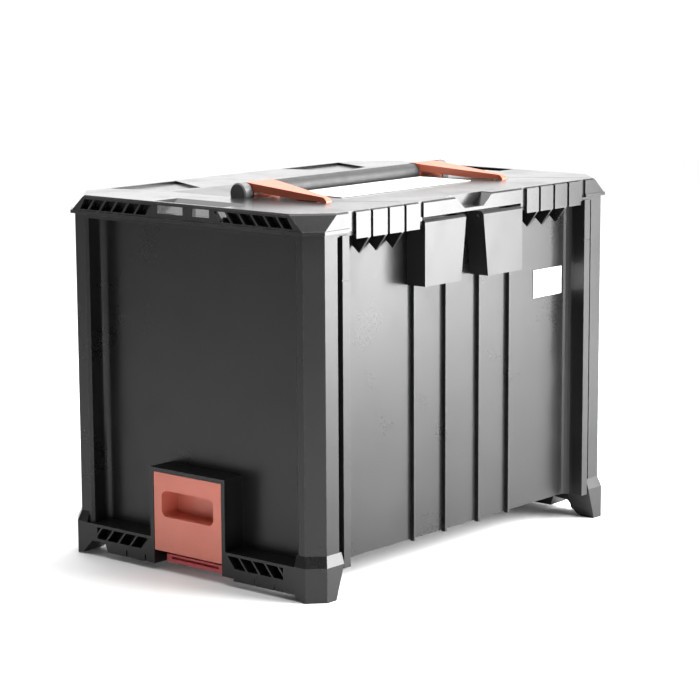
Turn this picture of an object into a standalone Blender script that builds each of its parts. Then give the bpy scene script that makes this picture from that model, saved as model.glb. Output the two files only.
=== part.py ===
"""Stackable system case: hinged lid, two front latches, folding top handle, two side coupler sliders."""
import math

import bmesh
import bpy
from mathutils import Matrix

MM = 0.001
OBJECT_NAME = "system_case"

# ---- whole case (mm) ----
HALF_W = 221.5
HALF_D = 156.0
CORNER_CHAMFER = 13.4
CHAMFER_DRAW = 0.4
WALL = 2.6
GAP = 0.3
SKIM = 1.0
WELD = 0.002
FAR = 30.0

# ---- body ----
POST_INSET = 3.0
POST_X = HALF_W - POST_INSET
POST_Y = HALF_D - POST_INSET
PANEL_X = 197.5
PANEL_Y = 134.0
FLOOR_LOW = 26.3
FLOOR_TOP = FLOOR_LOW + WALL
RIM_LOW = 317.5
RIM_TOP = 320.7
POST_SIDE_FRONT = 129.8
POST_SIDE_REAR = 124.5
POST_EDGE = 2.5
SIDE_FILLET = 6.5
FRONT_FILLET = 8.7
POST_INNER_X = 175.5
GROOVE_X = (184.3, 188.8)
GROOVE_DEPTH = 4.5
STRIP_PROUD = 2.0
STRIP_LINE_Z = (279.2, 280.4)
STRIP_LINE_DEPTH = 0.8
FILLET_STEPS = 5

# ---- feet and side rails ----
FOOT_TOP = 31.0
FLARE_TOP = 41.0
FOOT_INNER_X = (196.0, 194.2, 185.6, 185.6)
FOOT_INNER_Y = (139.2, 129.7, 129.7, 129.7)
FOOT_RING_Z = (0.0, 5.2, FOOT_TOP, FLARE_TOP)
RAIL_LOW = 5.7
RAIL_TOP = 30.6
RAIL_ROOT_X = 196.0
RAIL_END = 131.0
ARCH = ((103.1, -SKIM), (103.1, 6.2), (106.6, 15.4), (123.6, 14.0), (135.9, 2.0), (142.3, -SKIM))
ARCH_INNER_X = 180.0
RAIL_NOTCH_Y = (-57.0, -43.0)
RAIL_NOTCH_Z = 8.0
LATTICE_START = 49.5
LATTICE_PITCH = 15.5
LATTICE_OPEN = 13.2
LATTICE_SLANT = 9.5
LATTICE_END = 116.5
LATTICE_Z = (17.0, 28.0)
LATTICE_COUNT = 4
LATTICE_TIP_Y = 111.5
LATTICE_DEPTH = 12.0
SLITS_Y = (77.8, 53.5, -82.4, -106.4)
SLIT_HALF = 1.0
SLIT_TOP = 12.0
CHANNEL_X = (203.0, 218.5)
CHANNEL_TOP = 14.0
CHANNELS_Y = ((49.0, 100.0), (-126.0, -61.0))

# ---- coupler housing and slider (left side; the right one is the same turned half a turn) ----
HOUSING_Y = (-47.2, 45.8)
HOUSING_TOP = 96.0
BAY_Y = (-43.1, 41.5)
BAY_TOP = 92.5
BAY_BACK_X = 197.7
PLATE_Y = (-42.6, 41.0)
PLATE_Z = (19.0, 92.0)
PLATE_X = (217.0, 221.2)
DISH_Y = (-33.0, 31.5)
DISH_Z = (51.5, 76.0)
DISH_WALL = 2.0
DISH_BACK_X = 200.6
DISH_CORNER = 6.0
LEG_X = (203.0, 206.5)
LEG_Z = (14.3, 50.5)
TONGUE_Y = (-35.5, 35.5)
TONGUE_Z = (6.5, 14.0)
TONGUE_X = (203.0, 211.5)
TONGUE_SLOT_Y = (-29.5, 29.5)
TONGUE_SLOT_Z = (10.0, 12.6)
TONGUE_SLOT_DEPTH = 4.0

# ---- front details ----
RIBS_X = (-64.7, -18.5, 31.8, 78.5)
RIB_HALF = 1.1
RIB_PROUD = 3.7
RIB_TOP = 261.5
RIB_FOOT_Z = 24.8
GUSSETS_X = (100.2, 123.2, 146.2)
GUSSET_HALF = 1.2
GUSSET_PROFILE = ((PANEL_Y - SKIM, 318.2), (152.6, 318.2), (152.6, 313.0), (142.0, 299.0),
                  (PANEL_Y - SKIM, 306.4))
LABEL_X = (120.0, 166.0)
LABEL_Z = (227.5, 254.0)
LABEL_THICK = 0.5

# ---- rear hinge ----
HINGE_Y = 153.5
HINGE_Z = 322.5
HINGE_PIN_R = 1.25
HINGE_BORE_R = 1.31
KNUCKLE_R = 2.45
KNUCKLES_X = ((60.0, 70.0), (90.0, 100.0))
LID_KNUCKLE_X = (70.4, 89.6)
HINGE_PIN_X = (60.6, 99.4)
KNUCKLE_WEB_Y = (150.6, 152.6)
RIM_RELIEF_X = (70.15, 89.85)
RIM_RELIEF_Y = 150.4
RIM_RELIEF_Z = 319.6
HINGE_NOTCH_Y = 148.6
HINGE_NOTCH_Z = 326.2
LID_REAR_CHAMFER = ((149.6, 320.0), (149.6, 321.0), (HALF_D + SKIM, 325.0), (HALF_D + SKIM, 320.0))
ROUND_STEPS = 20

# ---- lid ----
LID_LOW = 321.0
LID_FLANGE_TOP = 324.0
LID_SIDE_TOP = 337.0
LID_TOP = 338.5
LID_SIDE_INSET = 0.8
LID_EDGE_INSET = 2.4
LID_CHAMFER_LOW = 14.0
LID_CHAMFER_TOP = 28.5
CAVITY_X = 206.0
BRIDGE_ROOM_X = 183.0
BRIDGE_ROOM_Z = 325.8
CAVITY_Y = 134.0
CAVITY_TOP = LID_TOP - WALL
SIDE_POCKET_Z = (325.6, 335.0)
SIDE_POCKET_START = 37.5
SIDE_POCKET_PITCH = 14.9
SIDE_POCKET_WEB = 2.3
SIDE_POCKET_SLANT = 7.5
SIDE_POCKET_END = (124.0, 130.5)
SIDE_POCKET_COUNT = 6
SIDE_POCKET_DEPTH = 8.0
BRIDGE_Y = (-46.8, 38.6)
WINDOWS_Y = ((-0.5, 30.5), (-32.7, -12.7))
WINDOW_Z = (328.6, 335.6)
BRIDGE_BACK_X = 216.5
BRIDGE_RAMP = ((-216.5, 341.0), (-216.5, 328.4), (-186.0, 338.5), (-186.0, 341.0))
FASCIA_LOW = 324.4
TOOTH_LOW = 314.5
TOOTH_BACK_Y = 153.4
TEETH_X = ((80.0, 98.6), (101.9, 121.6), (124.9, 144.4), (147.8, 167.0))
TOOTH_TOP = 337.4
TOOTH_GROOVES_X = ((73.5, 80.0), (98.6, 101.9), (121.6, 124.9), (144.4, 147.8), (167.0, 175.8))
TOOTH_GROOVE_DEPTH = 2.6
NOTCH = ((-27.5, 345.0), (-27.5, 338.0), (-14.0, 327.3), (14.0, 327.3), (27.5, 338.0), (27.5, 345.0))
NOTCH_DEPTH = 14.0
REAR_RECESSES = (
    ((-165.0, 149.0), (-76.0, 149.0), (-106.0, 87.0), (-145.0, 95.0)),
    ((76.0, 149.0), (165.0, 149.0), (145.0, 95.0), (106.0, 87.0)),
)
RECESS_DEPTH = 2.2
CREASES = (((-120.0, -88.0), (-87.0, -138.0)), ((143.0, -75.0), (189.0, -148.0)))
CREASE_HALF = 0.7
CREASE_DEPTH = 0.8
WELL_HALF_X = 151.0
WELL = ((82.0, 340.5), (82.0, 338.5), (12.0, 333.3), (12.0, 331.3), (-11.6, 331.3), (-11.6, 340.5))
WELL_ROOM_Y = (-14.5, 86.0)
WELL_ROOM_X = 154.0
WELL_ROOM_Z = 328.6
LID_LABEL_X = (-95.0, 95.0)
LID_LABEL_Y = (-78.0, -16.0)

# ---- latches ----
LATCH_TOP = 322.0
LATCH_LOW = 262.0
LATCH_X_OUT = 72.5
LATCH_X_IN_TOP = 12.7
LATCH_X_IN_LOW = 20.2
LATCH_BACK_Y = 135.0
LATCH_WALL = 3.0
LATCH_LIP = 2.5
LATCH_AXIS_Y = -149.2
LATCH_AXIS_Z = 317.0
LATCH_LUG_R = 3.4
LATCH_PIN_R = 1.8
LATCH_BORE_R = 1.86
LATCH_LUG_X = (19.6, 68.6)
LATCH_PIN_X = (15.2, 71.4)
LATCH_ROOM_X = 73.5
LATCH_NECK_Y = (-141.4, -137.6)
LATCH_CHEEK_RELIEF = ((-138.5, 324.0), (-138.5, 319.0), (-133.0, 319.0), (-133.0, 324.0))
LATCH_ROOM_Y = 134.4
KEEPER_X = (24.0, 66.0)
KEEPER_Z = (272.0, 277.0)
KEEPER_PROUD = 2.0
BEAD_DEPTH_Y = 136.4
BEAD_Z = (266.0, 271.4)

# ---- handle ----
TUBE_Z = 341.8
GRIP_R = 8.9
GRIP_HALF = 102.6
CORE_R = 7.6
CORE_HALF = 138.9
SLEEVE_R = 9.5
SLEEVE_BORE_R = 7.7
ARM_X = (103.0, 137.0)
ARM_TIP_X = (126.0, 133.0)
ARM_TIP_Y = -87.0
ARM_AXIS_Z = 337.2
ARM_TIP_R = 5.8
ARM_TIP_WRAP = 200
ARM_TOP_TUBE = TUBE_Z + SLEEVE_R
ARM_UNDER = ((-9.0, 343.6), (-55.0, 339.2), (-80.6, 339.0))
ARM_BOSS_R = 3.2
ARM_PIN_R = 1.5
ARM_BORE_R = 1.56
ARM_PIN_X = (119.6, 139.0)
ARM_SLOT_X = (123.4, 134.8)
ARM_SLOT_Y = (-93.8, -80.0)
ARM_SLOT_FLOOR = 330.8
ARM_ROOM_X = (117.0, 142.0)
ARM_ROOM_Y = (-98.0, -73.0)
ARM_ROOM_Z = 327.6
RING_X = (137.3, 138.8)
RING_R = 8.7
RING_BORE_R = 7.9
CAP_X = (139.2, 149.0)
CAP_R = 9.75
CAP_EDGE = 1.2
TUBE_STEPS = 40
SHARP_ANGLE = 35

MATERIALS = {
    "case_black": ((0.018, 0.018, 0.020), 0.34),
    "lid_black": ((0.018, 0.018, 0.020), 0.25),
    "latch_black": ((0.020, 0.020, 0.022), 0.36),
    "slider_red": ((0.62, 0.075, 0.035), 0.38),
    "tongue_red": ((0.52, 0.045, 0.050), 0.42),
    "arm_red": ((0.60, 0.085, 0.030), 0.40),
    "grip_rubber": ((0.022, 0.022, 0.024), 0.62),
    "cap_grey": ((0.060, 0.060, 0.065), 0.45),
    "pin_steel": ((0.42, 0.42, 0.44), 0.30),
    "label_white": ((0.82, 0.82, 0.80), 0.60),
}


def clear_scene():
    for obj in list(bpy.data.objects):
        bpy.data.objects.remove(obj, do_unlink=True)


def mesh_object(bm, name="tool"):
    bmesh.ops.remove_doubles(bm, verts=bm.verts, dist=WELD * MM)
    bmesh.ops.recalc_face_normals(bm, faces=bm.faces)
    mesh = bpy.data.meshes.new(name)
    bm.to_mesh(mesh)
    bm.free()
    obj = bpy.data.objects.new(name, mesh)
    bpy.context.scene.collection.objects.link(obj)
    return obj


def box(x, y, z):
    bm = bmesh.new()
    bmesh.ops.create_cube(bm, size=1.0)
    spans = [sorted(span) for span in (x, y, z)]
    for vert in bm.verts:
        for axis in range(3):
            low, high = spans[axis]
            vert.co[axis] = (high if vert.co[axis] > 0 else low) * MM
    return mesh_object(bm)


def prism(outline, axis, span):
    """Outline in the plane across axis: z takes (x, y), x takes (y, z), y takes (x, z)."""
    bm = bmesh.new()
    base = bm.faces.new([bm.verts.new((u * MM, v * MM, span[0] * MM)) for u, v in outline])
    raised = bmesh.ops.extrude_face_region(bm, geom=[base], use_keep_orig=True)["geom"]
    for vert in [item for item in raised if isinstance(item, bmesh.types.BMVert)]:
        vert.co.z = span[1] * MM
    for vert in bm.verts:
        u, v, w = vert.co
        vert.co = {"z": (u, v, w), "x": (w, u, v), "y": (u, w, v)}[axis]
    return mesh_object(bm)


def cylinder(axis, centre, radius, span, steps=ROUND_STEPS):
    """Round bar along axis; centre is the other two coordinates in X, Y, Z order."""
    bm = bmesh.new()
    bmesh.ops.create_cone(bm, cap_ends=True, segments=steps, radius1=radius * MM, radius2=radius * MM,
                          depth=abs(span[1] - span[0]) * MM)
    middle = (span[0] + span[1]) * MM / 2
    a, b = centre[0] * MM, centre[1] * MM
    for vert in bm.verts:
        u, v, w = vert.co
        w += middle
        vert.co = {"x": (w, u + a, v + b), "y": (u + a, w, v + b), "z": (u + a, v + b, w)}[axis]
    return mesh_object(bm)


def loft(rings):
    """Closed body through rings of equal point count, bottom to top."""
    bm = bmesh.new()
    rows = [[bm.verts.new((x * MM, y * MM, z * MM)) for x, y, z in ring] for ring in rings]
    count = len(rows[0])
    for lower, upper in zip(rows, rows[1:]):
        for i in range(count):
            j = (i + 1) % count
            bm.faces.new((lower[i], lower[j], upper[j], upper[i]))
    bm.faces.new(list(reversed(rows[0])))
    bm.faces.new(rows[-1])
    return mesh_object(bm)


def lathe_x(profile, centre, steps=TUBE_STEPS):
    """Turned piece along X from (x, radius) steps, first and last radius 0."""
    bm = bmesh.new()
    verts = [bm.verts.new((x * MM, radius * MM, 0.0)) for x, radius in profile]
    for a, b in zip(verts, verts[1:]):
        bm.edges.new((a, b))
    bmesh.ops.spin(bm, geom=bm.verts[:] + bm.edges[:], cent=(0, 0, 0), axis=(1, 0, 0),
                   angle=2 * math.pi, steps=steps)
    bmesh.ops.remove_doubles(bm, verts=bm.verts, dist=WELD * MM)
    for vert in bm.verts:
        vert.co.y += centre[0] * MM
        vert.co.z += centre[1] * MM
    return mesh_object(bm)


def combine(target, tools, operation):
    for tool in tools:
        modifier = target.modifiers.new("step", "BOOLEAN")
        modifier.operation = operation
        modifier.solver = "EXACT"
        modifier.object = tool
        graph = bpy.context.evaluated_depsgraph_get()
        mesh = bpy.data.meshes.new_from_object(target.evaluated_get(graph))
        target.modifiers.clear()
        old = target.data
        target.data = mesh
        bpy.data.meshes.remove(old)
        bpy.data.objects.remove(tool, do_unlink=True)
    return target


def add(target, *tools):
    return combine(target, tools, "UNION")


def cut(target, *tools):
    return combine(target, tools, "DIFFERENCE")


def half_turn(obj):
    """Turn a piece half a turn about the case's upright axis."""
    obj.data.transform(Matrix.Rotation(math.pi, 4, "Z"))
    return obj


def flip_x(obj):
    """Mirror a piece to the other side of the case."""
    obj.data.transform(Matrix.Scale(-1.0, 4, (1, 0, 0)))
    obj.data.flip_normals()
    return obj


def both_turned(maker):
    """The left piece and its half-turned twin."""
    return maker(), half_turn(maker())


def both_mirrored(maker):
    """The right piece and its mirrored twin."""
    return maker(), flip_x(maker())


def arc(centre, radius, start, end, steps):
    points = []
    for i in range(steps + 1):
        angle = math.radians(start + (end - start) * i / steps)
        points.append((centre[0] + radius * math.cos(angle), centre[1] + radius * math.sin(angle)))
    return points


def case_outline(x, y, chamfer):
    return [(x - chamfer, -y), (x, -y + chamfer), (x, y - chamfer), (x - chamfer, y),
            (-x + chamfer, y), (-x, y - chamfer), (-x, -y + chamfer), (-x + chamfer, -y)]


def corner_line(side_y, inset, fancy):
    """One corner of the wall line, from the side panel round the post to the front or rear panel."""
    points = arc((PANEL_X + SIDE_FILLET, side_y - SIDE_FILLET), SIDE_FILLET + inset, 180, 90, FILLET_STEPS)
    edge_x = POST_X - inset
    points += [(edge_x - POST_EDGE, side_y + inset), (edge_x, side_y + inset + POST_EDGE)]
    cut_back = CORNER_CHAMFER + inset * CHAMFER_DRAW
    points += [(edge_x, POST_Y - cut_back), (POST_X - cut_back, POST_Y - inset)]
    if fancy:
        groove = POST_Y - GROOVE_DEPTH - inset
        points += [(GROOVE_X[1] + inset, POST_Y - inset), (GROOVE_X[1] + inset, groove)]
        if inset:
            points += [(POST_INNER_X + inset, groove)]
        else:
            points += [(GROOVE_X[0], groove), (GROOVE_X[0], POST_Y + STRIP_PROUD),
                       (POST_INNER_X, POST_Y + STRIP_PROUD)]
    else:
        points += [(POST_INNER_X + inset, POST_Y - inset)]
    centre = (POST_INNER_X - FRONT_FILLET, PANEL_Y + FRONT_FILLET)
    points += arc(centre, FRONT_FILLET + inset, 0, -90, FILLET_STEPS)
    return points


def wall_line(inset):
    """Whole wall line, counter-clockwise from the right side's rear corner."""
    rear = corner_line(POST_SIDE_REAR, inset, False)
    front = corner_line(POST_SIDE_FRONT, inset, True)
    line = list(rear)
    line += [(-x, y) for x, y in reversed(rear)]
    line += [(-x, -y) for x, y in front]
    line += [(x, -y) for x, y in reversed(front)]
    return line


def foot(x_sign, y_sign):
    rings = []
    for z, inner_x, inner_y in zip(FOOT_RING_Z, FOOT_INNER_X, FOOT_INNER_Y):
        inset = POST_INSET if z == FLARE_TOP else 0.0
        x, y = HALF_W - inset, HALF_D - inset
        ring = [(inner_x, inner_y), (x, inner_y), (x, y - CORNER_CHAMFER), (x - CORNER_CHAMFER, y),
                (inner_x, y)]
        rings.append([(x_sign * px, y_sign * py, z) for px, py in ring])
    return loft(rings)


def side_block():
    """Left side rail with the coupler housing on it; the right side is the same turned half a turn."""
    front, rear = HOUSING_Y
    outline = [(-RAIL_END, RAIL_LOW), (RAIL_END, RAIL_LOW), (RAIL_END, RAIL_TOP), (rear, RAIL_TOP),
               (rear, HOUSING_TOP), (front, HOUSING_TOP), (front, RAIL_TOP), (-RAIL_END, RAIL_TOP)]
    return prism(outline, "x", (-HALF_W, -RAIL_ROOT_X))


def rail_cutters():
    cutters = [box((-HALF_W - SKIM, -CHANNEL_X[0]), RAIL_NOTCH_Y, (0, RAIL_NOTCH_Z))]
    for low, high in CHANNELS_Y:
        cutters.append(box((-CHANNEL_X[0], -CHANNEL_X[1]), (low, high), (-SKIM, CHANNEL_TOP)))
    for y in SLITS_Y:
        cutters.append(box((-HALF_W - SKIM, -CHANNEL_X[1] + SKIM), (y - SLIT_HALF, y + SLIT_HALF),
                           (-SKIM, SLIT_TOP)))
    depth = (-HALF_W - SKIM, -HALF_W + LATTICE_DEPTH)
    low, high = LATTICE_Z
    for side in (1, -1):
        for k in range(LATTICE_COUNT):
            a = LATTICE_START + LATTICE_PITCH * k
            b = a + LATTICE_OPEN
            end = min(b + LATTICE_SLANT, LATTICE_END)
            points = [(a, high), (b, high), (end, low), (a + LATTICE_SLANT, low)]
            if b + LATTICE_SLANT > LATTICE_END:
                fall = (high - low) * (LATTICE_END - b) / LATTICE_SLANT
                points = [(a, high), (b, high), (LATTICE_END, high - fall), (LATTICE_END, low),
                          (a + LATTICE_SLANT, low)]
            cutters.append(prism([(side * y, z) for y, z in points], "x", depth))
        drop = (high - low) * (LATTICE_END - LATTICE_TIP_Y) / LATTICE_SLANT
        tip = [(LATTICE_TIP_Y, high), (LATTICE_END, high), (LATTICE_END, high - drop)]
        cutters.append(prism([(side * y, z) for y, z in tip], "x", depth))
    return cutters


def make_body():
    body = prism(wall_line(0.0), "z", (FLOOR_LOW, RIM_LOW + SKIM))
    for x_sign in (1, -1):
        for y_sign in (1, -1):
            add(body, foot(x_sign, y_sign))
    add(body, prism(case_outline(POST_X, POST_Y, CORNER_CHAMFER), "z", (RIM_LOW, RIM_TOP)))
    for turned in (False, True):
        add(body, half_turn(side_block()) if turned else side_block())
    for x in GUSSETS_X:
        for side in (1, -1):
            profile = [(-y, z) for y, z in GUSSET_PROFILE]
            add(body, prism(profile, "x", (side * x - GUSSET_HALF, side * x + GUSSET_HALF)))
    for x in RIBS_X:
        add(body, box((x - RIB_HALF, x + RIB_HALF), (-PANEL_Y - RIB_PROUD, -PANEL_Y + SKIM),
                      (RIB_FOOT_Z, RIB_TOP)))
    cut(body, box((-LATCH_ROOM_X, LATCH_ROOM_X), (-HALF_D - SKIM, -LATCH_ROOM_Y),
                  (RIM_LOW - SKIM, RIM_TOP + SKIM)))
    cut(body, prism(wall_line(WALL), "z", (FLOOR_TOP, RIM_TOP + FAR)))
    for turned in (False, True):
        cutters = rail_cutters()
        cutters.append(box((-HALF_W - SKIM, -BAY_BACK_X), BAY_Y, (-SKIM, BAY_TOP)))
        cutters.append(prism(ARCH, "x", (-HALF_W - SKIM, -ARCH_INNER_X)))
        for cutter in cutters:
            cut(body, half_turn(cutter) if turned else cutter)
    for side in (1, -1):
        keeper = [side * x for x in KEEPER_X]
        add(body, box(keeper, (-PANEL_Y - KEEPER_PROUD, -PANEL_Y + SKIM), KEEPER_Z))
        strip = [side * x for x in (POST_INNER_X - SKIM, GROOVE_X[0] + SKIM)]
        strip_y = -POST_Y - STRIP_PROUD
        cut(body, box(strip, (strip_y - SKIM, strip_y + STRIP_LINE_DEPTH), STRIP_LINE_Z))
        relief = [side * x for x in RIM_RELIEF_X]
        cut(body, box(relief, (RIM_RELIEF_Y, POST_Y + SKIM), (RIM_RELIEF_Z, RIM_TOP + SKIM)))
        for low, high in KNUCKLES_X:
            span = (side * low, side * high)
            add(body, box(span, KNUCKLE_WEB_Y, (RIM_LOW + SKIM, HINGE_Z)))
            add(body, cylinder("x", (HINGE_Y, HINGE_Z), KNUCKLE_R, span))
            cut(body, cylinder("x", (HINGE_Y, HINGE_Z), HINGE_BORE_R,
                               (span[0] - side * SKIM, span[1] + side * SKIM)))
    return body


def make_slider():
    slider = box((-PLATE_X[1], -PLATE_X[0]), PLATE_Y, PLATE_Z)
    add(slider, box((-PLATE_X[0] - SKIM, -DISH_BACK_X + DISH_WALL),
                    (DISH_Y[0] - DISH_WALL, DISH_Y[1] + DISH_WALL),
                    (DISH_Z[0] - DISH_WALL, DISH_Z[1] + DISH_WALL)))
    add(slider, box((-LEG_X[0], -LEG_X[1]), TONGUE_Y, LEG_Z))
    y0, y1 = DISH_Y
    z0, z1 = DISH_Z
    r = DISH_CORNER
    corners = ((y1 - r, z1 - r), (y0 + r, z1 - r), (y0 + r, z0 + r), (y1 - r, z0 + r))
    outline = []
    for turn, corner in enumerate(corners):
        outline += arc(corner, r, 90 * turn, 90 * (turn + 1), FILLET_STEPS)
    cut(slider, prism(outline, "x", (-PLATE_X[1] - SKIM, -DISH_BACK_X)))
    return slider


def make_tongue():
    tongue = box((-TONGUE_X[0], -TONGUE_X[1]), TONGUE_Y, TONGUE_Z)
    cut(tongue, box((-TONGUE_X[1] - SKIM, -TONGUE_X[1] + TONGUE_SLOT_DEPTH), TONGUE_SLOT_Y, TONGUE_SLOT_Z))
    return tongue


def lid_ring(inset, chamfer, z):
    return [(x, y, z) for x, y in case_outline(HALF_W - inset, HALF_D - inset, chamfer)]


def lid_side_cutters():
    depth = (-HALF_W - SKIM, -HALF_W + SIDE_POCKET_DEPTH)
    low, high = SIDE_POCKET_Z
    half = SIDE_POCKET_WEB / 2
    cutters = []
    for side in (1, -1):
        for k in range(SIDE_POCKET_COUNT):
            a = SIDE_POCKET_START + SIDE_POCKET_PITCH * k + half
            b = a + SIDE_POCKET_PITCH - SIDE_POCKET_WEB
            c = b + SIDE_POCKET_SLANT
            if k == SIDE_POCKET_COUNT - 1:
                b, c = SIDE_POCKET_END
            points = [(a, high), (b, high), (c, low), (a + SIDE_POCKET_SLANT, low)]
            cutters.append(prism([(side * y, z) for y, z in points], "x", depth))
    for span in WINDOWS_Y:
        cutters.append(box((-HALF_W - SKIM, -BRIDGE_BACK_X + SKIM), span, WINDOW_Z))
    cutters.append(prism(BRIDGE_RAMP, "y", BRIDGE_Y))
    return cutters


def make_lid():
    lid = loft([lid_ring(0.0, CORNER_CHAMFER, LID_LOW), lid_ring(0.0, CORNER_CHAMFER, LID_FLANGE_TOP),
                lid_ring(LID_SIDE_INSET, LID_CHAMFER_LOW, LID_FLANGE_TOP + GAP),
                lid_ring(LID_SIDE_INSET, LID_CHAMFER_TOP, LID_SIDE_TOP),
                lid_ring(LID_EDGE_INSET, LID_CHAMFER_TOP, LID_TOP)])
    cavity = box((-CAVITY_X, CAVITY_X), (-CAVITY_Y, CAVITY_Y), (LID_LOW - SKIM, CAVITY_TOP))
    cut(cavity, box((-WELL_ROOM_X, WELL_ROOM_X), WELL_ROOM_Y, (WELL_ROOM_Z, LID_TOP)))
    for side in (1, -1):
        cut(cavity, box((side * BRIDGE_ROOM_X, side * HALF_W), (-HOUSING_Y[1] - WALL, HOUSING_Y[1] + WALL),
                        (BRIDGE_ROOM_Z, LID_TOP)))
        room = [side * x for x in ARM_ROOM_X]
        cut(cavity, box(room, ARM_ROOM_Y, (ARM_ROOM_Z, LID_TOP)))
    cut(lid, cavity)
    for turned in (False, True):
        for cutter in lid_side_cutters():
            cut(lid, half_turn(cutter) if turned else cutter)
    for side in (1, -1):
        for low, high in TEETH_X:
            add(lid, box((side * low, side * high), (-HALF_D, -TOOTH_BACK_Y), (TOOTH_LOW, TOOTH_TOP)))
        for low, high in TOOTH_GROOVES_X:
            cut(lid, box((side * low, side * high), (-HALF_D - SKIM, -HALF_D + TOOTH_GROOVE_DEPTH),
                         (LID_LOW - SKIM, LID_TOP + SKIM)))
    cut(lid, box((-LATCH_ROOM_X, LATCH_ROOM_X), (-HALF_D - SKIM, -LATCH_ROOM_Y),
                 (LID_LOW - SKIM, FASCIA_LOW)))
    for side in (1, -1):
        lug_x = [side * x for x in LATCH_LUG_X]
        add(lid, box(lug_x, LATCH_NECK_Y, (LATCH_AXIS_Z - LATCH_LUG_R, FASCIA_LOW + SKIM)))
        add(lid, box(lug_x, (LATCH_AXIS_Y, LATCH_NECK_Y[0] + SKIM),
                     (LATCH_AXIS_Z - LATCH_LUG_R, LATCH_AXIS_Z + LATCH_LUG_R)))
        add(lid, cylinder("x", (LATCH_AXIS_Y, LATCH_AXIS_Z), LATCH_LUG_R, lug_x))
        cut(lid, cylinder("x", (LATCH_AXIS_Y, LATCH_AXIS_Z), LATCH_BORE_R,
                          (lug_x[0] - side * SKIM, lug_x[1] + side * SKIM)))
        slot_x = [side * x for x in ARM_SLOT_X]
        cut(lid, box(slot_x, ARM_SLOT_Y, (ARM_SLOT_FLOOR, LID_TOP + SKIM)))
        pin_x = [side * x for x in ARM_PIN_X]
        cut(lid, cylinder("x", (ARM_TIP_Y, ARM_AXIS_Z), ARM_BORE_R,
                          (pin_x[0] - side * GAP, pin_x[1] + side * GAP)))
        for low, high in KNUCKLES_X:
            cut(lid, box((side * (low - SKIM), side * (high + SKIM)), (HINGE_NOTCH_Y, HALF_D + SKIM),
                         (LID_LOW - SKIM, HINGE_NOTCH_Z)))
    cut(lid, prism(LID_REAR_CHAMFER, "x", (-HALF_W - SKIM, HALF_W + SKIM)))
    for side in (1, -1):
        knuckle = [side * x for x in LID_KNUCKLE_X]
        add(lid, cylinder("x", (HINGE_Y, HINGE_Z), KNUCKLE_R, knuckle))
        cut(lid, cylinder("x", (HINGE_Y, HINGE_Z), HINGE_BORE_R,
                          (knuckle[0] - side * SKIM, knuckle[1] + side * SKIM)))
    cut(lid, prism(NOTCH, "y", (-HALF_D - SKIM, -HALF_D + NOTCH_DEPTH)))
    for outline in REAR_RECESSES:
        cut(lid, prism(outline, "z", (LID_TOP - RECESS_DEPTH, LID_TOP + SKIM)))
    for start, end in CREASES:
        run = math.dist(start, end)
        across = (CREASE_HALF * (end[1] - start[1]) / run, CREASE_HALF * (start[0] - end[0]) / run)
        outline = [(start[0] + across[0], start[1] + across[1]), (start[0] - across[0], start[1] - across[1]),
                   (end[0] - across[0], end[1] - across[1]), (end[0] + across[0], end[1] + across[1])]
        cut(lid, prism(outline, "z", (LID_TOP - CREASE_DEPTH, LID_TOP + SKIM)))
    cut(lid, prism(WELL, "x", (-WELL_HALF_X, WELL_HALF_X)))
    return lid


def make_latch():
    outer = [(LATCH_X_IN_TOP, LATCH_TOP), (LATCH_X_OUT, LATCH_TOP), (LATCH_X_OUT, LATCH_LOW),
             (LATCH_X_IN_LOW, LATCH_LOW)]
    inner = [(LATCH_X_IN_TOP + LATCH_WALL, LATCH_TOP + SKIM), (LATCH_X_OUT - LATCH_WALL, LATCH_TOP + SKIM),
             (LATCH_X_OUT - LATCH_WALL, LATCH_LOW + LATCH_WALL),
             (LATCH_X_IN_LOW + LATCH_WALL, LATCH_LOW + LATCH_WALL)]
    latch = prism(outer, "y", (-HALF_D, -LATCH_BACK_Y))
    cut(latch, prism(inner, "y", (-HALF_D + LATCH_WALL, -LATCH_BACK_Y + SKIM)))
    add(latch, box(KEEPER_X, (-HALF_D + SKIM, -BEAD_DEPTH_Y), BEAD_Z))
    lip = [(-HALF_D - SKIM, LATCH_TOP - LATCH_LIP - SKIM), (-HALF_D + LATCH_LIP + SKIM, LATCH_TOP + SKIM),
           (-HALF_D - SKIM, LATCH_TOP + SKIM)]
    cut(latch, prism(lip, "x", (0.0, LATCH_X_OUT + SKIM)))
    cut(latch, prism(LATCH_CHEEK_RELIEF, "x", (0.0, LATCH_X_OUT + SKIM)))
    cut(latch, cylinder("x", (LATCH_AXIS_Y, LATCH_AXIS_Z), LATCH_BORE_R,
                        (LATCH_PIN_X[0] - FAR, LATCH_PIN_X[1] + FAR)))
    return latch


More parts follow.
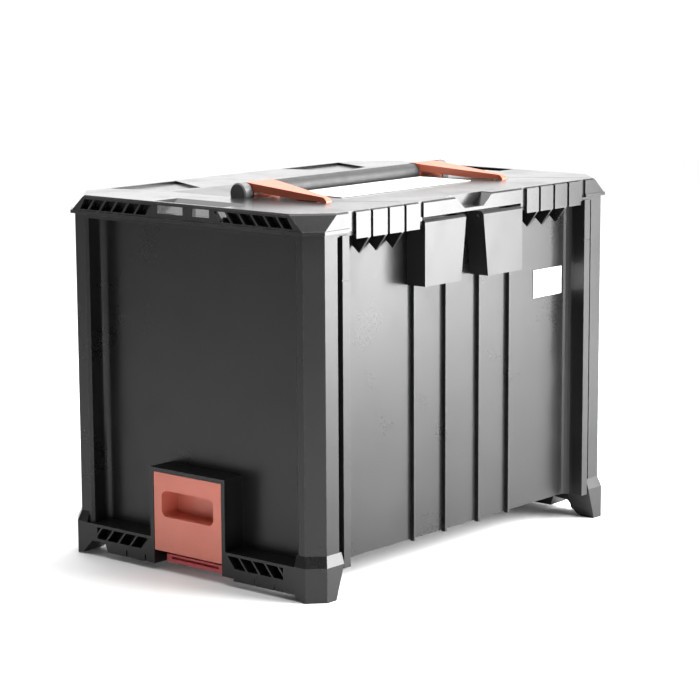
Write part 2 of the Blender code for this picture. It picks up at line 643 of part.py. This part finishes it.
def make_arm():
    tip_top = ARM_AXIS_Z + ARM_TIP_R
    side = [(0.0, ARM_TOP_TUBE), (0.0, ARM_UNDER[0][1])] + list(ARM_UNDER)
    side += [(ARM_TIP_Y + ARM_BOSS_R, ARM_AXIS_Z)]
    side += arc((ARM_TIP_Y, ARM_AXIS_Z), ARM_BOSS_R, 0, -90, FILLET_STEPS)[1:-1]
    side += [(ARM_TIP_Y - SKIM, ARM_AXIS_Z - ARM_BOSS_R)]
    side += arc((ARM_TIP_Y, ARM_AXIS_Z), ARM_TIP_R, ARM_TIP_WRAP, 90, FILLET_STEPS)
    plan = [(ARM_X[0], 0.0), (ARM_X[0], -SLEEVE_R), (ARM_TIP_X[0], ARM_TIP_Y - SKIM),
            (ARM_TIP_X[0], ARM_TIP_Y - FAR), (ARM_TIP_X[1], ARM_TIP_Y - FAR),
            (ARM_TIP_X[1], ARM_TIP_Y - SKIM), (ARM_X[1], -SLEEVE_R), (ARM_X[1], 0.0)]
    arm = prism(side, "x", (ARM_X[0] - SKIM, ARM_X[1] + SKIM))
    combine(arm, [prism(plan, "z", (ARM_AXIS_Z - FAR, ARM_TOP_TUBE + FAR))], "INTERSECT")
    add(arm, cylinder("x", (0.0, TUBE_Z), SLEEVE_R, ARM_X, TUBE_STEPS))
    cut(arm, cylinder("x", (0.0, TUBE_Z), SLEEVE_BORE_R, (ARM_X[0] - SKIM, ARM_X[1] + SKIM), TUBE_STEPS))
    cut(arm, cylinder("x", (ARM_TIP_Y, ARM_AXIS_Z), ARM_BORE_R, ARM_PIN_X))
    return arm


def make_grip():
    return lathe_x([(-CORE_HALF, 0.0), (-CORE_HALF, CORE_R), (-GRIP_HALF, CORE_R), (-GRIP_HALF, GRIP_R),
                    (GRIP_HALF, GRIP_R), (GRIP_HALF, CORE_R), (CORE_HALF, CORE_R), (CORE_HALF, 0.0)],
                   (0.0, TUBE_Z))


def make_ring():
    ring = cylinder("x", (0.0, TUBE_Z), RING_R, RING_X, TUBE_STEPS)
    bore = cylinder("x", (0.0, TUBE_Z), RING_BORE_R, (RING_X[0] - SKIM, RING_X[1] + SKIM), TUBE_STEPS)
    return cut(ring, bore)


def make_cap():
    return lathe_x([(CAP_X[0], 0.0), (CAP_X[0], CAP_R), (CAP_X[1] - CAP_EDGE, CAP_R),
                    (CAP_X[1], CAP_R - CAP_EDGE), (CAP_X[1], 0.0)], (0.0, TUBE_Z))


def material(name):
    if name in bpy.data.materials:
        return bpy.data.materials[name]
    colour, roughness = MATERIALS[name]
    made = bpy.data.materials.new(name)
    made.use_nodes = True
    shader = made.node_tree.nodes["Principled BSDF"]
    shader.inputs["Base Color"].default_value = (*colour, 1.0)
    shader.inputs["Roughness"].default_value = roughness
    made.diffuse_color = (*colour, 1.0)
    return made


def finish(obj, name, surface, origin=(0.0, 0.0, 0.0), smooth=False):
    """Name the piece, put its origin on its joint axis and give it its material."""
    obj.name = name
    obj.data.name = name
    shift = Matrix.Translation([-value * MM for value in origin])
    obj.data.transform(shift)
    obj.location = [value * MM for value in origin]
    obj.data.materials.clear()
    own = material(surface).copy()
    own.name = name
    obj.data.materials.append(own)
    if smooth:
        for polygon in obj.data.polygons:
            polygon.use_smooth = True
        obj.data.set_sharp_from_angle(angle=math.radians(SHARP_ANGLE))
    for holder in list(obj.users_collection):
        holder.objects.unlink(obj)
    PARTS.objects.link(obj)
    return obj


clear_scene()
PARTS = bpy.data.collections.new(OBJECT_NAME)
bpy.context.scene.collection.children.link(PARTS)

finish(make_body(), "body_shell", "case_black")
finish(box(LABEL_X, (-PANEL_Y - GAP - LABEL_THICK, -PANEL_Y - GAP), LABEL_Z), "front_label", "label_white")
HINGE_ORIGIN = (0.0, HINGE_Y, HINGE_Z)
for SIDE_NAME, SIGN in (("left", -1), ("right", 1)):
    PIN = cylinder("x", (HINGE_Y, HINGE_Z), HINGE_PIN_R, (SIGN * HINGE_PIN_X[0], SIGN * HINGE_PIN_X[1]))
    finish(PIN, "hinge_pin_" + SIDE_NAME, "pin_steel", smooth=True)
for SIDE_NAME, MADE in zip(("left", "right"), both_turned(make_slider)):
    finish(MADE, "slider_" + SIDE_NAME, "slider_red")
for SIDE_NAME, MADE in zip(("left", "right"), both_turned(make_tongue)):
    finish(MADE, "slider_tongue_" + SIDE_NAME, "tongue_red")

finish(make_lid(), "lid_shell", "lid_black", HINGE_ORIGIN)
LID_LABEL_Z = (LID_TOP + GAP, LID_TOP + GAP + LABEL_THICK)
finish(box(LID_LABEL_X, LID_LABEL_Y, LID_LABEL_Z), "lid_label", "label_white", HINGE_ORIGIN)
LATCH_ORIGIN = (0.0, LATCH_AXIS_Y, LATCH_AXIS_Z)
ARM_ORIGIN = (0.0, ARM_TIP_Y, ARM_AXIS_Z)
for SIDE_NAME, SIGN in (("left", -1), ("right", 1)):
    PIN = cylinder("x", (LATCH_AXIS_Y, LATCH_AXIS_Z), LATCH_PIN_R, [SIGN * x for x in LATCH_PIN_X])
    finish(PIN, "latch_pin_" + SIDE_NAME, "pin_steel", HINGE_ORIGIN, smooth=True)
    PIN = cylinder("x", (ARM_TIP_Y, ARM_AXIS_Z), ARM_PIN_R, [SIGN * x for x in ARM_PIN_X])
    finish(PIN, "handle_pin_" + SIDE_NAME, "pin_steel", HINGE_ORIGIN, smooth=True)
for SIDE_NAME, MADE in zip(("right", "left"), both_mirrored(make_latch)):
    finish(MADE, "latch_" + SIDE_NAME, "latch_black", LATCH_ORIGIN)
finish(make_grip(), "handle_grip", "grip_rubber", ARM_ORIGIN, smooth=True)
for SIDE_NAME, MADE in zip(("right", "left"), both_mirrored(make_arm)):
    finish(MADE, "handle_arm_" + SIDE_NAME, "arm_red", ARM_ORIGIN, smooth=True)
for SIDE_NAME, MADE in zip(("right", "left"), both_mirrored(make_ring)):
    finish(MADE, "handle_ring_" + SIDE_NAME, "grip_rubber", ARM_ORIGIN, smooth=True)
for SIDE_NAME, MADE in zip(("right", "left"), both_mirrored(make_cap)):
    finish(MADE, "handle_cap_" + SIDE_NAME, "cap_grey", ARM_ORIGIN, smooth=True)
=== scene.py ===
import math

import bmesh
import bpy
from mathutils import Matrix, Vector

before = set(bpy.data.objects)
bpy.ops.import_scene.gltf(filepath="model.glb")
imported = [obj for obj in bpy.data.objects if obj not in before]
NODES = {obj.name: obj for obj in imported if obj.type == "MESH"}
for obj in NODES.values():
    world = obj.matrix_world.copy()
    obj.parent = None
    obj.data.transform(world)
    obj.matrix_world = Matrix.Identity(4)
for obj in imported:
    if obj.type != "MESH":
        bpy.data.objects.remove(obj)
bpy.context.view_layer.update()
MM = 0.001
COOL_CAST = 1.03
EDGE_RADIUS = 1.2 * MM
GRAIN_SCALE = 420.0
WEAR_SHARE = 0.5


# ---------------------------------------------------------------- materials
class Shader:
    """A node material with small helpers."""

    def __init__(self, name):
        self.made = bpy.data.materials.new(name)
        self.made.use_nodes = True
        self.tree = self.made.node_tree
        self.surface = self.tree.nodes["Principled BSDF"]
        self.spot = self.tree.nodes.new("ShaderNodeTexCoord").outputs["Object"]

    def node(self, kind, inputs=None, **values):
        made = self.tree.nodes.new(kind)
        for key, value in values.items():
            setattr(made, key, value)
        for key, value in (inputs or {}).items():
            if isinstance(value, bpy.types.NodeSocket):
                self.tree.links.new(value, made.inputs[key])
            else:
                made.inputs[key].default_value = value
        return made

    def stretch(self, scale):
        return self.node("ShaderNodeMapping", {"Vector": self.spot, "Scale": scale}).outputs[0]

    def noise(self, scale, detail=4.0, rough=0.55, vector=None):
        inputs = {"Vector": vector or self.spot, "Scale": scale, "Detail": detail, "Roughness": rough}
        return self.node("ShaderNodeTexNoise", inputs).outputs[0]

    def span(self, value, low, high, to_low, to_high):
        inputs = {0: value, 1: low, 2: high, 3: to_low, 4: to_high}
        return self.node("ShaderNodeMapRange", inputs, clamp=True).outputs[0]

    def mix(self, factor, a, b):
        made = self.node("ShaderNodeMix", data_type="RGBA")
        for index, value in ((0, factor), (6, a), (7, b)):
            if isinstance(value, bpy.types.NodeSocket):
                self.tree.links.new(value, made.inputs[index])
            else:
                made.inputs[index].default_value = value
        return made.outputs[2]

    def maths(self, operation, a, b):
        return self.node("ShaderNodeMath", {0: a, 1: b}, operation=operation).outputs[0]

    def edges(self, radius):
        """1 on worn outer edges, 0 on flat faces."""
        rounded = self.node("ShaderNodeBevel", {"Radius": radius}, samples=4).outputs[0]
        plain = self.node("ShaderNodeNewGeometry").outputs["Normal"]
        compare = self.node("ShaderNodeVectorMath", {0: rounded, 1: plain}, operation="DOT_PRODUCT")
        return self.span(compare.outputs["Value"], 0.90, 0.995, 1.0, 0.0)

    def bumps(self, layers):
        """Stacked bumps of (height, strength, distance)."""
        normal = None
        for height, strength, distance in layers:
            inputs = {"Height": height, "Strength": strength, "Distance": distance}
            if normal is not None:
                inputs["Normal"] = normal
            normal = self.node("ShaderNodeBump", inputs).outputs[0]
        self.tree.links.new(normal, self.surface.inputs["Normal"])

    def feed(self, name, value):
        if isinstance(value, bpy.types.NodeSocket):
            self.tree.links.new(value, self.surface.inputs[name])
        else:
            self.surface.inputs[name].default_value = value


def grey(level):
    """Neutral pigment with a slight cool cast."""
    return (level, level, level * COOL_CAST, 1.0)


def plastic(name, dark, light, rough, worn, grain=0.03, shine=0.5):
    """Moulded plastic: pigment drift, fine grain, flow waviness, smudges and rubbed edges."""
    s = Shader(name)
    drift = s.noise(9.0, 5.0, 0.6)
    fine = s.noise(GRAIN_SCALE, 3.0, 0.6)
    colour = s.mix(s.span(drift, 0.35, 0.65, 0.0, 1.0), dark, light)
    wear = s.maths("MULTIPLY", s.edges(EDGE_RADIUS), s.span(s.noise(160.0, 4.0), 0.42, 0.62, 0.0, 1.0))
    colour = s.mix(s.maths("MULTIPLY", wear, WEAR_SHARE), colour, worn)
    s.feed("Base Color", colour)
    base = s.span(drift, 0.3, 0.7, rough * 0.88, rough * 1.14)
    smudge = s.span(s.noise(26.0, 2.0, 0.5), 0.5, 0.75, 0.0, rough * 0.22)
    grit = s.span(fine, 0.3, 0.7, 0.0, 0.02)
    s.feed("Roughness", s.maths("ADD", s.maths("ADD", base, smudge), grit))
    waves = s.noise(5.0, 2.0, 0.4)
    s.bumps([(waves, 0.25, 1.2 * MM), (s.noise(GRAIN_SCALE, 1.0, 0.5), grain, 0.3 * MM)])
    s.surface.inputs["IOR"].default_value = 1.5
    s.surface.inputs["Specular IOR Level"].default_value = shine
    return s.made


def rubber(name):
    s = Shader(name)
    drift = s.noise(30.0, 4.0)
    s.feed("Base Color", s.mix(drift, grey(0.010), grey(0.022)))
    s.feed("Roughness", s.span(s.noise(90.0, 5.0), 0.3, 0.7, 0.42, 0.62))
    knurl = s.node("ShaderNodeTexVoronoi", {"Vector": s.spot, "Scale": 900.0}).outputs["Distance"]
    s.bumps([(knurl, 0.35, 0.0003), (s.noise(60.0, 3.0), 0.2, 0.0006)])
    return s.made


def steel(name):
    s = Shader(name)
    brushed = s.noise(700.0, 3.0, 0.6, s.stretch((0.05, 1.0, 1.0)))
    s.feed("Base Color", s.mix(brushed, (0.36, 0.36, 0.37, 1), (0.52, 0.52, 0.54, 1)))
    s.feed("Roughness", s.span(brushed, 0.3, 0.7, 0.26, 0.42))
    s.bumps([(brushed, 0.15, 0.0002)])
    s.surface.inputs["Metallic"].default_value = 1.0
    return s.made


def paper(name):
    s = Shader(name)
    fibre = s.noise(700.0, 5.0, 0.7)
    s.feed("Base Color", s.mix(fibre, (0.60, 0.60, 0.59, 1), (0.70, 0.70, 0.69, 1)))
    s.feed("Roughness", s.span(s.noise(50.0, 3.0), 0.3, 0.7, 0.38, 0.56))
    s.bumps([(fibre, 0.12, 0.0001), (s.noise(14.0, 3.0), 0.3, 0.0006)])
    return s.made


WORN_BLACK = (0.075, 0.075, 0.078, 1)
LOOKS = {
    "case": plastic("case_black_moulding", grey(0.0062), grey(0.0100), 0.28, worn=WORN_BLACK, shine=0.30),
    "lid": plastic("lid_black_moulding", grey(0.0090), grey(0.0140), 0.20, grain=0.0,
                   worn=WORN_BLACK, shine=0.34),
    "latch": plastic("latch_black_moulding", grey(0.0110), grey(0.0160), 0.30, grain=0.02,
                     worn=WORN_BLACK, shine=0.34),
    "slider": plastic("slider_red_moulding", (0.52, 0.135, 0.090, 1), (0.60, 0.165, 0.112, 1), 0.30,
                      worn=(0.70, 0.20, 0.14, 1)),
    "tongue": plastic("tongue_red_moulding", (0.52, 0.070, 0.080, 1), (0.60, 0.095, 0.105, 1), 0.36,
                      worn=(0.66, 0.18, 0.15, 1)),
    "arm": plastic("arm_red_moulding", (0.46, 0.100, 0.050, 1), (0.54, 0.125, 0.062, 1), 0.34,
                   worn=(0.62, 0.22, 0.14, 1)),
    "cap": plastic("cap_grey_moulding", grey(0.080), grey(0.110), 0.36, worn=(0.16, 0.16, 0.165, 1)),
    "grip": rubber("grip_rubber"),
    "steel": steel("pin_steel"),
    "paper": paper("blank_label_paper"),
}
# a node takes the first look whose name start fits, so the longer starts come first
WEARS = (("body_shell", "case"), ("front_label", "paper"), ("lid_label", "paper"),
         ("slider_tongue", "tongue"), ("slider", "slider"), ("lid_shell", "lid"),
         ("latch_pin", "steel"), ("hinge_pin", "steel"), ("handle_pin", "steel"), ("latch", "latch"),
         ("handle_grip", "grip"), ("handle_ring", "grip"), ("handle_arm", "arm"), ("handle_cap", "cap"))


def look_of(name):
    for start, look in WEARS:
        if name.startswith(start):
            return LOOKS[look]
    raise KeyError(name)


# ---------------------------------------------------------------- finish of the moulded pieces
FLAT_ANGLE = math.radians(0.4)
EDGE_ANGLE = math.radians(28)
EDGE_MM = {"body_shell": 0.8, "lid_shell": 0.7, "latch": 1.0, "slider_tongue": 0.6, "slider": 0.8,
           "handle_arm": 0.9, "handle_cap": 0.5, "handle_ring": 0.2, "handle_grip": 0.4}


def edge_width(name):
    """Rounding of a moulded piece's edges in mm, 0 for pins and labels."""
    if "pin" in name:
        return 0.0
    return next((width for start, width in EDGE_MM.items() if name.startswith(start)), 0.0)


def soften(obj, width):
    """Join the facets of each flat face, then round the edges between faces."""
    flat = obj.modifiers.new("flat_faces", "DECIMATE")
    flat.decimate_type = "DISSOLVE"
    flat.angle_limit = FLAT_ANGLE
    soft = obj.modifiers.new("soft_edges", "BEVEL")
    soft.width = width * MM
    soft.segments = 2
    soft.limit_method = "ANGLE"
    soft.angle_limit = EDGE_ANGLE
    soft.use_clamp_overlap = True
    soft.harden_normals = True
    soft.miter_outer = "MITER_ARC"


for name, obj in NODES.items():
    if obj.type == "MESH":
        obj.data.materials.clear()
        obj.data.materials.append(look_of(name))
        if edge_width(name):
            soften(obj, edge_width(name))

# ---------------------------------------------------------------- studio
FLOOR_HALF = 12.0
BACKDROP_HALF = (7.0, 3.2)
BACKDROP_SPOT = (2.6, 2.9, 2.6)
BACKDROP_TURN = (math.radians(90), 0.0, math.radians(-42))
BACKDROP_GLOW = 1.10
AIR_GLOW = 0.22
STUDIO = bpy.data.collections.new("studio")
bpy.context.scene.collection.children.link(STUDIO)


def studio_mesh(name, bm, look):
    mesh = bpy.data.meshes.new(name)
    bm.to_mesh(mesh)
    bm.free()
    mesh.materials.append(look)
    obj = bpy.data.objects.new(name, mesh)
    STUDIO.objects.link(obj)
    return obj


def floor_look():
    s = Shader("studio_floor")
    s.feed("Base Color", (0.86, 0.86, 0.86, 1))
    s.feed("Roughness", s.span(s.noise(3.0), 0.3, 0.7, 0.80, 0.92))
    return s.made


def lit_paper(name, level):
    """White sheet that glows evenly."""
    s = Shader(name)
    s.feed("Base Color", (0.9, 0.9, 0.9, 1))
    s.feed("Emission Color", (1.0, 1.0, 1.0, 1))
    s.feed("Emission Strength", level)
    s.feed("Roughness", s.span(s.noise(3.0), 0.3, 0.7, 0.80, 0.92))
    return s.made


def panel_light(name, spot, aim, size, power):
    data = bpy.data.lights.new(name, "AREA")
    data.shape = "RECTANGLE"
    data.size, data.size_y = size
    data.energy = power
    lamp = bpy.data.objects.new(name, data)
    lamp.location = spot
    lamp.rotation_euler = (Vector(aim) - Vector(spot)).to_track_quat("-Z", "Y").to_euler()
    STUDIO.objects.link(lamp)
    return lamp


def add_floor():
    bm = bmesh.new()
    bmesh.ops.create_grid(bm, x_segments=2, y_segments=2, size=FLOOR_HALF)
    studio_mesh("floor", bm, floor_look())


def add_backdrop():
    bm = bmesh.new()
    bmesh.ops.create_grid(bm, x_segments=1, y_segments=1, size=1.0)
    bmesh.ops.scale(bm, vec=(*BACKDROP_HALF, 1.0), verts=bm.verts)
    sheet = studio_mesh("backdrop", bm, lit_paper("backdrop_paper", BACKDROP_GLOW))
    sheet.location = BACKDROP_SPOT
    sheet.rotation_euler = BACKDROP_TURN


def add_air():
    world = bpy.data.worlds.new("studio_air")
    bpy.context.scene.world = world
    world.use_nodes = True
    background = world.node_tree.nodes["Background"]
    background.inputs["Color"].default_value = (1.0, 1.0, 1.0, 1.0)
    background.inputs["Strength"].default_value = AIR_GLOW


add_floor()
add_backdrop()
panel_light("front_panel", spot=(0.633, -1.367, 0.62), aim=(-0.28, -0.55, 0.36), size=(1.35, 1.6),
            power=165.0)
panel_light("top_panel", spot=(0.4, 0.2, 2.3), aim=(0.1, 0.0, 0.0), size=(2.8, 2.8), power=100.0)
add_air()

# ---------------------------------------------------------------- camera
YAW = math.radians(49.396)
PITCH = math.radians(9.681)
ROLL = math.radians(-0.322)
SPOT = Vector((-1.74863, -1.49321, 0.57141))
FOCAL_MM = 124.90
SENSOR_MM = 36.0
SHIFT = (0.0133, -0.0006)


def camera_pose():
    """World matrix of a camera at SPOT, turned by YAW, dipped by PITCH and tipped by ROLL."""
    forward = Vector((math.sin(YAW) * math.cos(PITCH), math.cos(YAW) * math.cos(PITCH), -math.sin(PITCH)))
    sideways = Vector((math.cos(YAW), -math.sin(YAW), 0.0))
    upward = sideways.cross(forward)
    side = sideways * math.cos(ROLL) + upward * math.sin(ROLL)
    top = -sideways * math.sin(ROLL) + upward * math.cos(ROLL)
    return Matrix((
        (side.x, top.x, -forward.x, SPOT.x),
        (side.y, top.y, -forward.y, SPOT.y),
        (side.z, top.z, -forward.z, SPOT.z),
        (0, 0, 0, 1)))


def add_camera():
    lens = bpy.data.cameras.new("camera")
    lens.lens = FOCAL_MM
    lens.sensor_width = SENSOR_MM
    lens.shift_x, lens.shift_y = SHIFT
    camera = bpy.data.objects.new("camera", lens)
    camera.matrix_world = camera_pose()
    STUDIO.objects.link(camera)
    bpy.context.scene.camera = camera


add_camera()
bpy.context.scene.view_settings.view_transform = "Standard"
